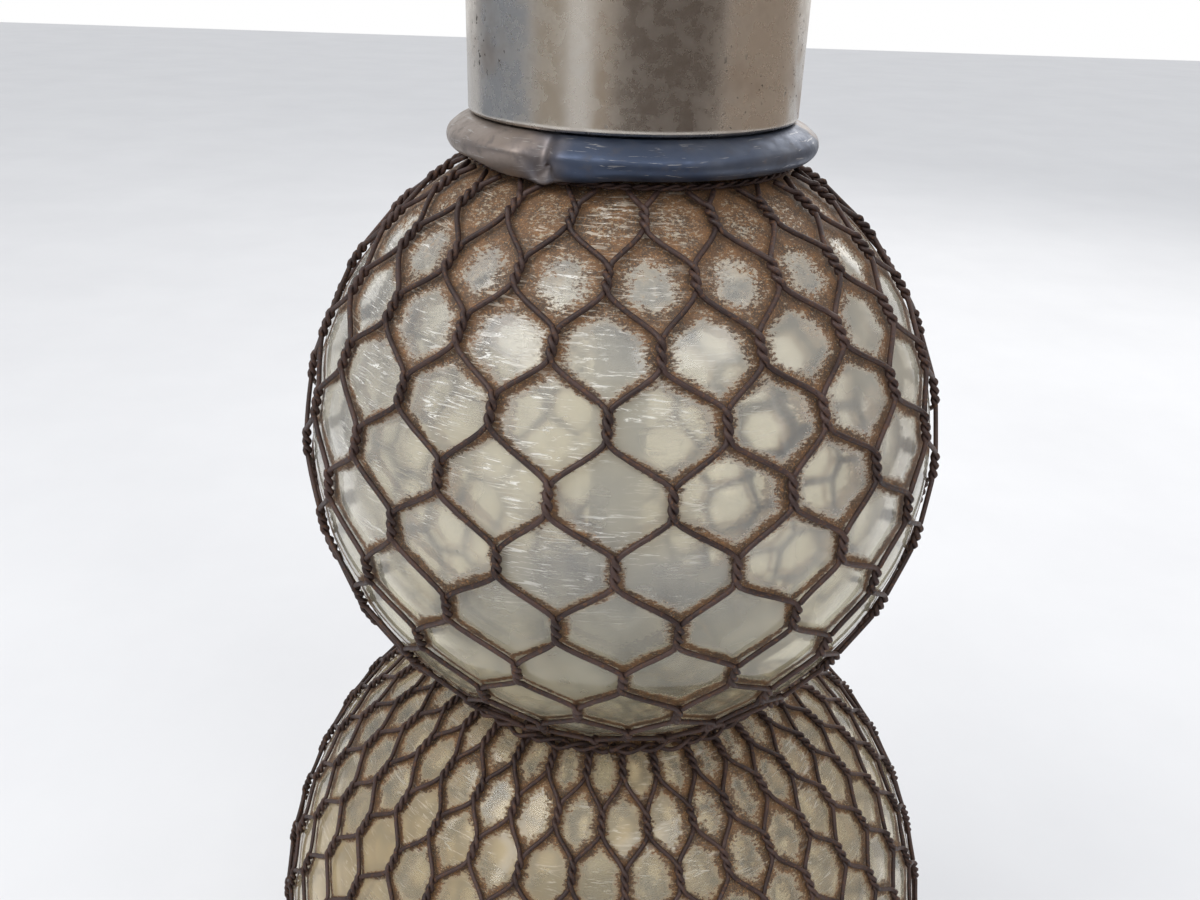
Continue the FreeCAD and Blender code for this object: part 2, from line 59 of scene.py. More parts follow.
# Glass vessel: two globes that meet in a waist, and a neck
lower_r = (glass_hi.x - glass_lo.x) / 2
lower_z = glass_lo.z + lower_r
upper_r = 63.5 * MM
globe_spacing = 128.0 * MM
upper_z = lower_z + globe_spacing
waist_rise = 9 * MM
glass_wall = 6.2 * MM
crease_r = 2.0 * MM
throat_edge_r = 1.5 * MM
neck_r = 23.0 * MM
neck_wall = 5.0 * MM
neck_root_r = 2.5 * MM
neck_top_z = glass_hi.z
lip_round = 1.2 * MM
lip_bulge = 0.35 * MM
bore_round = 0.6 * MM
glass_sides = 224
glass_unevenness = 0.16 * MM
glass_pole_r = 5 * MM
rust_reach = 4.4 * MM
rust_least_reach = 0.6 * MM
haze_reach = 3.2 * MM
rust_relief = 0.25 * MM

# Netting: "top" and "bottom" are the latitudes of its two ends, "phase" and "skew" turn its rows
wire_r = 0.48 * MM
twist_length = 5.7 * MM
twist_turns = 1.5
UPPER_NET = {
    "z": upper_z, "r": upper_r + 1.15 * MM, "cells": 20, "rows": 11, "top": 61.3, "bottom": -54.6,
    "phase": 2.9, "skew": 1.05, "sides": 8, "samples": 13, "jitter": 0.45 * MM,
}
LOWER_NET = {
    "z": lower_z, "r": lower_r + 1.0 * MM, "cells": 34, "rows": 15, "top": 64.0, "bottom": -50.3,
    "phase": 3.56, "skew": 0.0, "sides": 6, "samples": 11, "jitter": 0.45 * MM,
}
START_STEPS = (0.0, 0.35, 0.7)
DIAGONAL_STEPS = (0.14, 0.38, 0.62, 0.86)
END_STEPS = (0.3, 0.65, 1.0)
diagonal_straight = 0.72
diagonal_curved = 0.28
diagonal_sag = 0.35

# Hoops of two wires twisted together: "rim" and "inset" lead from the CAD box to the middle line
HOOPS = (
    {"name": "waist_binding_twisted", "node": "waist_binding_wire", "rim": wire_r, "inset": 0.75 * MM,
     "spread": 0.75 * MM, "twists": 26, "wire": wire_r, "wander": 0.35 * MM},
    {"name": "neck_hoop_twisted", "node": "neck_hoop_wire", "rim": 0.7 * MM, "inset": 0.3 * MM,
     "spread": 0.3 * MM, "twists": 34, "wire": 0.3 * MM, "wander": 0.0},
    {"name": "foot_hoop_twisted", "node": "foot_hoop_wire", "rim": 0.7 * MM, "inset": 0.0,
     "spread": 0.38 * MM, "twists": 64, "wire": 0.38 * MM, "wander": 0.0},
)
hoop_steps = 14
hoop_sides = 8

# Collar: a sleeve with a rolled bead, which is dented and holed at one place
collar_sides = 420
collar_bore_gap = 1.7 * MM
collar_sleeve_wall = 4.2 * MM
bead_edge_r = 2.3 * MM
bead_mid_rise = 2.75 * MM
dent_turn = math.radians(-28.0)
hole_shift = 0.03
hole_inset = 1.2 * MM
hole_rise = 0.6 * MM
hole_r = 1.25 * MM
hole_lift = 1.6 * MM
hole_pull = 1.8 * MM

# The dent has a fold, a pressed lobe on one side and a lip on the other, at and over degrees of turn;
# each drops and pulls in the bead by so many millimetres
fold_width = 4.0
lobe_at = -7.0
lobe_width = 15.0
lip_at = 13.0
lip_width = 7.0
fold_drop = 0.9
lobe_drop = 1.9
lip_drop = 1.0
fold_pull = 2.2
lobe_pull = 1.6
lip_pull = 0.4
bead_wave = 0.12 * MM

# Cap: a cylinder with a rounded shoulder, and a web inside that rests on the gasket
cap_sides = 192
cap_wall = 1.7 * MM
cap_rim = 0.6 * MM
cap_shoulder_r = 5 * MM
cap_ends = 5.6 * MM
cap_flat_r = 16 * MM
cap_hole_r = 10.55 * MM
cap_stem_r = 8.55 * MM
cap_web = 3 * MM
cap_dullness_mm = 0.05

# Studio
floor_half = 4.0
floor_gap = 0.0004
lamp_aim = (0, 0, 0.2)
LAMPS = (
    ("window", (-0.9, -0.5, 1.25), (0.9, 0.9), 9.0, (1.0, 0.99, 0.97)),
    ("sky", (0.5, -0.9, 1.1), (0.8, 0.6), 4.0, (0.93, 0.96, 1.0)),
    ("room", (0.6, 0.9, 0.9), (1.0, 0.8), 5.0, (1.0, 0.98, 0.95)),
)
panel_distance = 0.9
panel_low = -0.1
panel_high = 0.9
PANELS = (
    ("shade_blue", -127, -72, (0.30, 0.33, 0.38)),
    ("shade_tan", -70, -45, (0.40, 0.35, 0.29)),
    ("shade_brown", -28, -15, (0.36, 0.29, 0.22)),
    ("dark_door", -14, 56, (0.12, 0.095, 0.08)),
    ("shade_right", 58, 128, (0.40, 0.335, 0.28)),
)

# Camera of the photograph: a wide lens close to the upper globe, pitched down and rolled a little
camera_place = Vector((-4.1 * MM, -204.0 * MM, upper_z + 92.7 * MM))
camera_pitch = math.radians(25.68)
camera_roll = math.radians(1.86)
camera_focal_px = 1045.0
image_width_px = 1200.0
sensor_width = 36.0


def material(name):
    """A new material with one Principled shader, and its node tree."""
    mat = bpy.data.materials.new(name)
    mat.use_nodes = True
    tree = mat.node_tree
    tree.nodes.clear()
    out = tree.nodes.new("ShaderNodeOutputMaterial")
    shader = tree.nodes.new("ShaderNodeBsdfPrincipled")
    tree.links.new(shader.outputs[0], out.inputs[0])
    return mat, tree, shader


def place(tree):
    """The point on the surface in the object's own frame, in metres."""
    return tree.nodes.new("ShaderNodeTexCoord").outputs["Object"]


def feed(tree, socket, value):
    """Link a socket to another one, or set its value."""
    if isinstance(value, bpy.types.NodeSocket):
        tree.links.new(value, socket)
    else:
        socket.default_value = value


def calc(tree, op, a, b=0.0, clamp=False):
    node = tree.nodes.new("ShaderNodeMath")
    node.operation = op
    node.use_clamp = clamp
    feed(tree, node.inputs[0], a)
    feed(tree, node.inputs[1], b)
    return node.outputs[0]


def times(tree, a, b, clamp=False):
    return calc(tree, "MULTIPLY", a, b, clamp)


def plus(tree, a, b):
    return calc(tree, "ADD", a, b)


def minus(tree, a, b, clamp=False):
    return calc(tree, "SUBTRACT", a, b, clamp)


def over(tree, a, b, clamp=False):
    return calc(tree, "DIVIDE", a, b, clamp)


def most(tree, a, b):
    return calc(tree, "MAXIMUM", a, b)


def ramp(tree, value, low, high, to_low=0.0, to_high=1.0):
    """Smooth step of a value from low to high."""
    node = tree.nodes.new("ShaderNodeMapRange")
    node.interpolation_type = "SMOOTHSTEP"
    for socket, item in zip(node.inputs, (value, low, high, to_low, to_high)):
        feed(tree, socket, item)
    return node.outputs[0]


def grain(tree, where, scale, detail=3.0, rough=0.55, stretch=(1, 1, 1), distort=0.0):
    """Noise with a scale in waves per metre, as a value near one half."""
    shift = tree.nodes.new("ShaderNodeMapping")
    feed(tree, shift.inputs["Vector"], where)
    shift.inputs["Scale"].default_value = stretch
    node = tree.nodes.new("ShaderNodeTexNoise")
    tree.links.new(shift.outputs[0], node.inputs["Vector"])
    node.inputs["Scale"].default_value = scale
    node.inputs["Detail"].default_value = detail
    node.inputs["Roughness"].default_value = rough
    node.inputs["Distortion"].default_value = distort
    return node.outputs["Fac"]


def mix(tree, fac, a, b):
    node = tree.nodes.new("ShaderNodeMix")
    node.data_type = "RGBA"
    feed(tree, node.inputs[0], fac)
    feed(tree, node.inputs[6], a)
    feed(tree, node.inputs[7], b)
    return node.outputs[2]


def rgb(r, g, b):
    return (r, g, b, 1.0)


def bump(tree, shader, height, strength, distance):
    node = tree.nodes.new("ShaderNodeBump")
    node.inputs["Strength"].default_value = strength
    node.inputs["Distance"].default_value = distance
    feed(tree, node.inputs["Height"], height)
    tree.links.new(node.outputs[0], shader.inputs["Normal"])


def split(tree, vector):
    node = tree.nodes.new("ShaderNodeSeparateXYZ")
    tree.links.new(vector, node.inputs[0])
    return node.outputs


def turn_of(tree, x, y):
    """Degrees round the axis, 0 towards -Y and rising towards +X."""
    return times(tree, calc(tree, "ARCTAN2", x, times(tree, y, -1.0)), DEGREES)


def sine_of(tree, turn, waves=1):
    return calc(tree, "SINE", times(tree, turn, math.pi / 180 * waves))


def grid(net):
    """Degrees from row to row, from cell to cell, and from a twist's middle to its end."""
    pitch = (net["top"] - net["bottom"]) / net["rows"]
    return pitch, 360.0 / net["cells"], math.degrees(twist_length / 2 / net["r"])


def wire_distance(tree, where, net):
    """Metres from a point of the globe to the nearest wire, and the point's latitude and turn."""
    pitch, step, half = grid(net)
    x, y, z = split(tree, where)
    turn = turn_of(tree, x, y)
    rise = minus(tree, z, net["z"])
    out = calc(tree, "SQRT", plus(tree, times(tree, x, x), times(tree, y, y)))
    lat = times(tree, calc(tree, "ARCTAN2", rise, out), DEGREES)
    rows = minus(tree, over(tree, minus(tree, net["top"], lat), pitch), 0.5)
    row = calc(tree, "FLOOR", rows)
    part = minus(tree, rows, row)
    twist = half / pitch
    along = over(tree, minus(tree, part, twist), 1 - 2 * twist, clamp=True)
    aside = times(tree, plus(tree, row, along), 0.5)
    lean = times(tree, rows, net["skew"])
    cell = over(tree, minus(tree, minus(tree, turn, net["phase"]), lean), step)
    gaps = []
    for op in ("SUBTRACT", "ADD"):
        off = calc(tree, "FRACT", plus(tree, calc(tree, op, cell, aside), 0.5))
        gaps.append(calc(tree, "ABSOLUTE", minus(tree, off, 0.5)))
    near = calc(tree, "MINIMUM", gaps[0], gaps[1])
    width = times(tree, out, math.radians(step))
    slope = times(tree, times(tree, along, minus(tree, 1.0, along)), -1.1)
    return times(tree, times(tree, near, width), plus(tree, slope, 1.0)), lat, turn


def glass_material():
    """Thick blown glass, milky with age, with rust stains beside the wires and fine scratches."""
    mat, tree, shader = material("blown_glass_with_rust")
    where = place(tree)
    z = split(tree, where)[2]
    upper_gap, upper_lat, turn = wire_distance(tree, where, UPPER_NET)
    lower_gap, lower_lat, _ = wire_distance(tree, where, LOWER_NET)
    is_upper = calc(tree, "GREATER_THAN", z, (upper_z + lower_z) / 2 + waist_rise)
    is_lower = minus(tree, 1.0, is_upper)

    def by_globe(upper, lower):
        """One value above the waist and another below it."""
        return plus(tree, times(tree, is_upper, upper), times(tree, is_lower, lower))

    gap = by_globe(upper_gap, lower_gap)
    speck = grain(tree, where, 1900.0, 6.0, 0.74, (0.62, 0.62, 1.5))
    blotch = grain(tree, where, 300.0, 4.0, 0.62)
    patch = grain(tree, where, 34.0, 3.0, 0.6)
    fine = grain(tree, where, 3300.0, 2.0, 0.6)
    side = sine_of(tree, turn)

    # How much rust: more towards the collar and on the right, and uneven in patches
    upper_rust = times(tree, ramp(tree, upper_lat, 18.0, 60.0), 0.62)
    side_rust = times(tree, ramp(tree, side, 0.1, 1.0), ramp(tree, upper_lat, -30.0, 15.0))
    upper_rust = plus(tree, upper_rust, times(tree, side_rust, 0.24))
    upper_rust = plus(tree, upper_rust, ramp(tree, upper_lat, -35.0, 12.0, 0.02, 0.14))
    lower_rust = ramp(tree, lower_lat, -20.0, 62.0, 0.14, 0.22)
    rust = by_globe(upper_rust, lower_rust)
    rust = plus(tree, rust, times(tree, minus(tree, patch, 0.5), 1.3))
    rust = most(tree, rust, 0.0)

    # Rust spreads from the wires in specks, with a haze round it, and covers the part by the collar
    reach = plus(tree, times(tree, rust, rust_reach), rust_least_reach)
    near = over(tree, gap, reach)
    near = plus(tree, near, times(tree, minus(tree, blotch, 0.5), 1.5))
    collar_zone = ramp(tree, plus(tree, upper_lat, times(tree, blotch, 30.0)), 58.0, 69.0)
    collar_zone = times(tree, collar_zone, is_upper)
    dense = minus(tree, 1.25, times(tree, near, 0.58), clamp=True)
    dense = most(tree, dense, times(tree, collar_zone, 0.82))
    bar = minus(tree, 0.69, times(tree, dense, 0.34))
    stain = ramp(tree, minus(tree, speck, bar), -0.01, 0.06)
    haze = ramp(tree, near, 0.4, 1.9, 1.0, 0.0)
    haze = most(tree, haze, ramp(tree, over(tree, gap, haze_reach), 0.1, 1.0, 0.32, 0.0))
    haze = most(tree, haze, collar_zone)

    # Fine level scratches, on the upper globe's left and all over the lower one
    swirl = grain(tree, where, 46.0, 2.0, 0.5, (1, 1, 1), 1.4)
    scratch = grain(tree, where, 420.0, 3.0, 0.7, (0.25, 0.25, 2.6), 2.2)
    scratch = times(tree, ramp(tree, scratch, 0.54, 0.66), ramp(tree, swirl, 0.4, 0.58))
    scratch_zone = times(tree, ramp(tree, upper_lat, -12.0, 12.0), is_upper)
    scratch_zone = times(tree, scratch_zone, ramp(tree, side, 0.55, -0.2))
    scratch = times(tree, scratch, most(tree, scratch_zone, times(tree, is_lower, 0.45)))

    # Colour: milk, haze, scratches and rust, one over the other
    milk = mix(tree, ramp(tree, patch, 0.35, 0.65), rgb(0.76, 0.71, 0.58), rgb(0.87, 0.85, 0.79))
    lower_milk = mix(tree, ramp(tree, patch, 0.35, 0.65), rgb(0.66, 0.54, 0.34), rgb(0.84, 0.77, 0.60))
    milk = mix(tree, ramp(tree, upper_lat, 8.0, -22.0), milk, rgb(0.74, 0.68, 0.50))
    colour = mix(tree, is_lower, milk, lower_milk)
    ochre = mix(tree, ramp(tree, patch, 0.4, 0.6), rgb(0.36, 0.225, 0.095), rgb(0.47, 0.30, 0.10))
    colour = mix(tree, times(tree, haze, 0.62), colour, ochre)
    colour = mix(tree, times(tree, scratch, 0.8), colour, rgb(0.93, 0.91, 0.86))
    rust_tone = mix(tree, ramp(tree, blotch, 0.38, 0.66), rgb(0.040, 0.016, 0.007), rgb(0.140, 0.058, 0.018))
    rust_tone = mix(tree, ramp(tree, fine, 0.52, 0.7), rust_tone, rgb(0.30, 0.135, 0.038))
    colour = mix(tree, times(tree, stain, 0.92), colour, rust_tone)
    colour = mix(tree, times(tree, times(tree, scratch, stain), 0.6), colour, rgb(0.66, 0.58, 0.46))
    tree.links.new(colour, shader.inputs["Base Color"])

    # The inner wall stays clear and smooth, because the stains are on the outside
    centre_z = by_globe(upper_z, lower_z)
    skin_r = by_globe(upper_r, lower_r)
    x, y, _ = split(tree, where)
    rise = minus(tree, z, centre_z)
    depth = plus(tree, times(tree, x, x), times(tree, y, y))
    depth = calc(tree, "SQRT", plus(tree, depth, times(tree, rise, rise)))
    inside = calc(tree, "LESS_THAN", depth, minus(tree, skin_r, glass_wall / 2))
    clear = ramp(tree, patch, 0.3, 0.7, 0.6, 0.84)
    clear = times(tree, clear, minus(tree, 1.0, times(tree, haze, 0.5)))
    clear = times(tree, clear, minus(tree, 1.0, times(tree, scratch, 0.6)))
    clear = times(tree, clear, minus(tree, 1.0, stain), clamp=True)
    clear = most(tree, clear, times(tree, inside, 0.96))
    tree.links.new(clear, shader.inputs["Transmission Weight"])

    stain = times(tree, stain, minus(tree, 1.0, inside))
    rough = plus(tree, times(tree, stain, 0.6), times(tree, scratch, 0.3))
    rough = plus(tree, rough, ramp(tree, patch, 0.3, 0.7, 0.1, 0.05))
    tree.links.new(rough, shader.inputs["Roughness"])
    shader.inputs["IOR"].default_value = 1.46
    height = times(tree, stain, plus(tree, speck, 0.3))
    bump(tree, shader, minus(tree, height, times(tree, scratch, 0.12)), 0.35, rust_relief)
    return mat


def wire_material():
    """Old iron wire, dark brown with redder rust in its grain."""
    mat, tree, shader = material("rusted_wire")
    where = place(tree)
    broad = grain(tree, where, 90.0, 3.0)
    fine = grain(tree, where, 1500.0, 4.0, 0.65)
    colour = mix(tree, ramp(tree, broad, 0.35, 0.65), rgb(0.030, 0.016, 0.014), rgb(0.066, 0.037, 0.031))
    colour = mix(tree, ramp(tree, fine, 0.52, 0.68), colour, rgb(0.120, 0.056, 0.027))
    colour = mix(tree, ramp(tree, fine, 0.42, 0.3), colour, rgb(0.016, 0.011, 0.010))
    tree.links.new(colour, shader.inputs["Base Color"])
    shader.inputs["Metallic"].default_value = 0.25
    tree.links.new(ramp(tree, fine, 0.3, 0.7, 0.42, 0.72), shader.inputs["Roughness"])
    bump(tree, shader, fine, 0.55, 0.12 * MM)
    return mat


def nickel_material(name, tarnish, wear):
    """Worn nickel plate: turned sheen, painted reflection bands round the axis, tarnish, pits and scratches.
    """
    mat, tree, shader = material(name)
    where = place(tree)
    x, y, _ = split(tree, where)
    turn = turn_of(tree, x, y)
    cloud = grain(tree, where, 55.0, 4.0, 0.6)
    mottle = grain(tree, where, 260.0, 4.0, 0.65)
    pits = grain(tree, where, 900.0, 2.0, 0.5)
    lines = grain(tree, where, 500.0, 3.0, 0.6, (1, 1, 0.06))
    # Painted reflection: three soft lighter and darker bands round the axis in the base colour, darkest at
    # 30 degrees of turn
    painted_reflection_bands = ramp(tree, sine_of(tree, turn, 3), -0.6, 0.9)
    base = mix(tree, times(tree, painted_reflection_bands, 0.5), rgb(0.57, 0.53, 0.475), rgb(0.44, 0.39, 0.335))
    stained = ramp(tree, cloud, 0.48, 0.72)
    base = mix(tree, times(tree, stained, tarnish), base, rgb(0.33, 0.25, 0.19))
    dulled = times(tree, ramp(tree, mottle, 0.55, 0.75), tarnish * 0.6)
    base = mix(tree, dulled, base, rgb(0.42, 0.37, 0.32))
    pit = times(tree, ramp(tree, pits, 0.66, 0.70), ramp(tree, cloud, 0.44, 0.58))
    base = mix(tree, times(tree, pit, wear), base, rgb(0.035, 0.028, 0.022))
    tree.links.new(base, shader.inputs["Base Color"])
    shader.inputs["Metallic"].default_value = 1.0
    rough = ramp(tree, mottle, 0.3, 0.7, 0.2, 0.34)
    rough = plus(tree, rough, times(tree, stained, 0.12))
    rough = plus(tree, rough, times(tree, pit, 0.4))
    tree.links.new(rough, shader.inputs["Roughness"])
    height = minus(tree, times(tree, lines, 0.25), times(tree, pit, 0.8))
    bump(tree, shader, plus(tree, height, times(tree, mottle, 0.15)), 0.25, 0.12 * MM)
    return mat


def pewter_material():
    """Dull pewter whose dark blue-grey base tone is a painted reflection of blue sky, with a painted tan
    reflection on its left side and pink-tan bloom in spots.
    """
    mat, tree, shader = material("old_pewter")
    where = place(tree)
    cloud = grain(tree, where, 42.0, 4.0, 0.6)
    mottle = grain(tree, where, 330.0, 4.0, 0.65)
    scuff = grain(tree, where, 700.0, 3.0, 0.6, (0.3, 0.3, 3.0), 0.8)
    x, y, _ = split(tree, where)
    turn = turn_of(tree, x, y)
    # Tan on the left side, set by turn, is a painted reflection; the tan spots from the noise are bloom
    painted_side_reflection_and_bloom = plus(tree, turn, times(tree, cloud, 46.0))
    painted_side_reflection_and_bloom = times(tree, ramp(tree, painted_side_reflection_and_bloom, -2.0, -18.0), ramp(tree, turn, -150.0, -100.0))
    spots = plus(tree, cloud, times(tree, mottle, 0.3))
    painted_side_reflection_and_bloom = most(tree, painted_side_reflection_and_bloom, ramp(tree, spots, 0.72, 0.84))
    # The blue in the dark base tone is a painted reflection of blue sky
    base = mix(tree, ramp(tree, cloud, 0.38, 0.64), rgb(0.055, 0.072, 0.115), rgb(0.115, 0.13, 0.165))
    base = mix(tree, times(tree, painted_side_reflection_and_bloom, 0.85), base, rgb(0.30, 0.245, 0.205))
    base = mix(tree, times(tree, ramp(tree, mottle, 0.5, 0.72), 0.45), base, rgb(0.10, 0.095, 0.10))
    base = mix(tree, times(tree, ramp(tree, scuff, 0.62, 0.7), 0.45), base, rgb(0.5, 0.49, 0.48))
    tree.links.new(base, shader.inputs["Base Color"])
    shader.inputs["Metallic"].default_value = 0.8
    tree.links.new(ramp(tree, mottle, 0.3, 0.7, 0.34, 0.56), shader.inputs["Roughness"])
    bump(tree, shader, plus(tree, mottle, times(tree, scuff, 0.5)), 0.3, 0.15 * MM)
    return mat


def plain_material(name, dark, light, metallic, rough, scale, depth):
    """A two-tone mottled surface."""
    mat, tree, shader = material(name)
    where = place(tree)
    tone = grain(tree, where, scale, 4.0, 0.6)
    fine = grain(tree, where, scale * 8, 3.0, 0.6)
    colour = mix(tree, ramp(tree, tone, 0.35, 0.65), rgb(*dark), rgb(*light))
    darkest = rgb(*[c * 0.45 for c in dark])
    colour = mix(tree, times(tree, ramp(tree, fine, 0.6, 0.75), 0.4), colour, darkest)
    tree.links.new(colour, shader.inputs["Base Color"])
    shader.inputs["Metallic"].default_value = metallic
    uneven = ramp(tree, fine, 0.3, 0.7, rough * 0.8, min(1.0, rough * 1.25))
    tree.links.new(uneven, shader.inputs["Roughness"])
    bump(tree, shader, fine, 0.3, depth)
    return mat


def clear_glass_material():
    """Thin tube glass, a little uneven in tone."""
    mat, tree, shader = material("clear_tube_glass")
    where = place(tree)
    tone = grain(tree, where, 120.0, 3.0)
    colour = mix(tree, tone, rgb(0.9, 0.95, 0.93), rgb(0.97, 0.98, 0.97))
    tree.links.new(colour, shader.inputs["Base Color"])
    shader.inputs["Transmission Weight"].default_value = 0.95
    tree.links.new(ramp(tree, tone, 0.3, 0.7, 0.02, 0.07), shader.inputs["Roughness"])
    shader.inputs["IOR"].default_value = 1.47
    return mat


def add_mesh(name, verts, faces, mat, body):
    """A smooth piece that rides on a body, with the given material."""
    mesh = bpy.data.meshes.new(name)
    mesh.from_pydata([tuple(v) for v in verts], [], faces)
    mesh.validate()
    mesh.polygons.foreach_set("use_smooth", [True] * len(mesh.polygons))
    mesh.materials.append(mat)
    piece = bpy.data.objects.new(name, mesh)
    bpy.context.scene.collection.objects.link(piece)
    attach(piece, body)
    return piece


def lathe(profile, count, warp):
    """Points and faces of a closed outline of (radius, height) turned about Z, each point warped."""
    verts = []
    for r, z in profile:
        for k in range(count):
            a = 2 * math.pi * k / count
            verts.append(warp((r * math.sin(a), -r * math.cos(a), z)))
    faces = []
    rings = len(profile)
    for i in range(rings):
        j = (i + 1) % rings
        for k in range(count):
            m = (k + 1) % count
            faces.append((i * count + k, i * count + m, j * count + m, j * count + k))
    return verts, faces


def arc_points(cx, cz, r, a0, a1, count):
    """Points on an arc of the half section, from angle a0 to a1 in degrees."""
    out = []
    for k in range(count + 1):
        a = math.radians(a0 + (a1 - a0) * k / count)
        out.append((cx + r * math.cos(a), cz + r * math.sin(a)))
    return out


def waist_circle(r_low, r_up, edge):
    """Centre of the arc that rounds the crease between the globes."""
    low = r_low + edge
    up = r_up + edge
    rise = (globe_spacing ** 2 + low ** 2 - up ** 2) / (2 * globe_spacing)
    return math.sqrt(low ** 2 - rise ** 2), lower_z + rise


def vessel_outline(inset, crease, root):
    """Half section of the vessel up to its neck: the outer wall, or the inner one at an inset."""
    r_low = lower_r - inset
    r_up = upper_r - inset
    r_neck = neck_r - (neck_wall if inset else 0.0)
    wx, wz = waist_circle(r_low, r_up, crease)
    a_low = math.degrees(math.atan2(wz - lower_z, wx))
    a_up = math.degrees(math.atan2(wz - upper_z, wx))
    root_x = r_neck + root
    root_z = upper_z + math.sqrt((r_up + root) ** 2 - root_x ** 2)
    a_root = math.degrees(math.atan2(root_z - upper_z, root_x))
    points = arc_points(0, lower_z, r_low, -89.9, a_low, 72)
    points += arc_points(wx, wz, crease, 180 + a_low, 180 + a_up, 8)[1:]
    points += arc_points(0, upper_z, r_up, a_up, a_root, 64)[1:]
    points += arc_points(root_x, root_z, root, 180 + a_root, 180, 8)[1:]
    return points


def blown_glass(mat):
    """Outer and inner wall in one closed skin, a little uneven as blown glass is."""
    outer = vessel_outline(0.0, crease_r, neck_root_r)
    inner = vessel_outline(glass_wall, throat_edge_r, neck_root_r + glass_wall)
    bore_r = neck_r - neck_wall
    lip = [(neck_r, neck_top_z - lip_round), (neck_r - lip_bulge, neck_top_z - lip_bulge),
           (neck_r - lip_round, neck_top_z), (bore_r + bore_round, neck_top_z),
           (bore_r, neck_top_z - bore_round)]

    def uneven(p):
        v = Vector(p)
        size = glass_unevenness * (noise.noise(v * 28.0) + 0.5 * noise.noise(v * 61.0))
        out = Vector((v.x, v.y, 0.0))
        if out.length < glass_pole_r:
            return p
        return tuple(v + out.normalized() * size)

    verts, faces = lathe(outer + lip + list(reversed(inner)), glass_sides, uneven)
    piece = add_mesh("glass_vessel_blown", verts, faces, mat, "vessel")
    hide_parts("glass_vessel")


def tube_rings(points, radius, sides):
    """Round tube through points, with frames carried along so that it doesn't twist."""
    p = np.asarray(points, float)
    along = np.gradient(p, axis=0)
    along /= np.linalg.norm(along, axis=1)[:, None]
    normal = np.cross(along[0], (0.0, 0.0, 1.0))
    if np.linalg.norm(normal) < 1e-6:
        normal = np.cross(along[0], (1.0, 0.0, 0.0))
    rings = []
    angles = np.arange(sides) * 2 * math.pi / sides
    for k in range(len(p)):
        normal = normal - along[k] * normal.dot(along[k])
        normal /= np.linalg.norm(normal)
        other = np.cross(along[k], normal)
        rings.append(p[k] + radius * (np.cos(angles)[:, None] * normal + np.sin(angles)[:, None] * other))
    return np.concatenate(rings)


def add_tubes(name, lines, radius, sides, mat, closed=False):
    """One piece of round wires of the vessel, each along a line of points."""
    verts = []
    faces = []
    start = 0
    for line in lines:
        rings = tube_rings(line, radius, sides)
        count = len(line)
        verts.append(rings)
        for k in range(count if closed else count - 1):
            m = (k + 1) % count
            for s in range(sides):
                t = (s + 1) % sides
                here = start + k * sides
                there = start + m * sides
                faces.append((here + s, here + t, there + t, there + s))
        if not closed:
            faces.append(tuple(start + s for s in reversed(range(sides))))
            faces.append(tuple(start + (count - 1) * sides + s for s in range(sides)))
        start += count * sides
    return add_mesh(name, np.concatenate(verts), faces, mat, "vessel")


def node_jitter(net, row, cell, salt):
    """The same small offset for both wires of a twist, from its place in the net."""
    key = Vector((row * 3.17 + salt * 11.3, (cell % net["cells"]) * 2.71 + 0.37, net["cells"] * 0.9))
    return noise.noise(key) * net["jitter"] * 2.0


def on_globe(net, lat, turn, r, aside, lift):
    """A point of the net: latitude, turn, radius, and offsets to the east and outward."""
    a = math.radians(lat)
    b = math.radians(turn)
    out = np.array((math.cos(a) * math.sin(b), -math.cos(a) * math.cos(b), math.sin(a)))
    east = np.array((math.cos(b), math.sin(b), 0.0))
    return np.array((0, 0, net["z"])) + out * (r + lift) + east * aside


def strand(net, hand, index):
    """One wire of the net from its upper hoop to its lower end."""
    pitch, step, half = grid(net)
    turns = math.pi * 2 * twist_turns
    places = []
    for k in range(net["rows"]):
        cell = index + hand * k / 2.0
        lat = net["top"] - (k + 0.5) * pitch + math.degrees(node_jitter(net, k, cell, 1) / net["r"])
        ring_r = net["r"] * max(0.35, math.cos(math.radians(lat)))
        swing = math.degrees(node_jitter(net, k, cell, 2) / ring_r)
        places.append((lat, net["phase"] + net["skew"] * k + cell * step + swing))
    points = []
    first = places[0]
    for t in START_STEPS:
        lat = net["top"] + (first[0] + half - net["top"]) * t
        turn = first[1] - hand * step / 4 * (1 - t)
        points.append(on_globe(net, lat, turn, net["r"], -hand * wire_r * t, 0.0))
    for k, (lat, turn) in enumerate(places):
        for s in np.linspace(0, 1, net["samples"]):
            phi = turns * s
            aside = -hand * math.cos(phi) * wire_r
            lift = hand * math.sin(phi) * wire_r
            points.append(on_globe(net, lat + half - 2 * half * s, turn, net["r"], aside, lift))
        if k + 1 < len(places):
            to_lat, to_turn = places[k + 1]
            for t in DIAGONAL_STEPS:
                ease = diagonal_straight * t + diagonal_curved * t * t * (3 - 2 * t)
                at = lat - half + (to_lat + half - lat + half) * t
                sag = -diagonal_sag * wire_r * math.sin(math.pi * t)
                aside = hand * wire_r * (1 - 2 * t)
                points.append(on_globe(net, at, turn + (to_turn - turn) * ease, net["r"], aside, sag))
    lat, turn = places[-1]
    for t in END_STEPS:
        at = lat - half + (net["bottom"] - lat + half) * t
        points.append(on_globe(net, at, turn + hand * step / 4 * t, net["r"], hand * wire_r, 0.0))
    return points


def netting(name, net, node, mat):
    """Both families of wires, one leaning each way."""
    lines = [strand(net, hand, i) for hand in (1, -1) for i in range(net["cells"])]
    piece = add_tubes(name, lines, wire_r, net["sides"], mat)
    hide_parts(node)


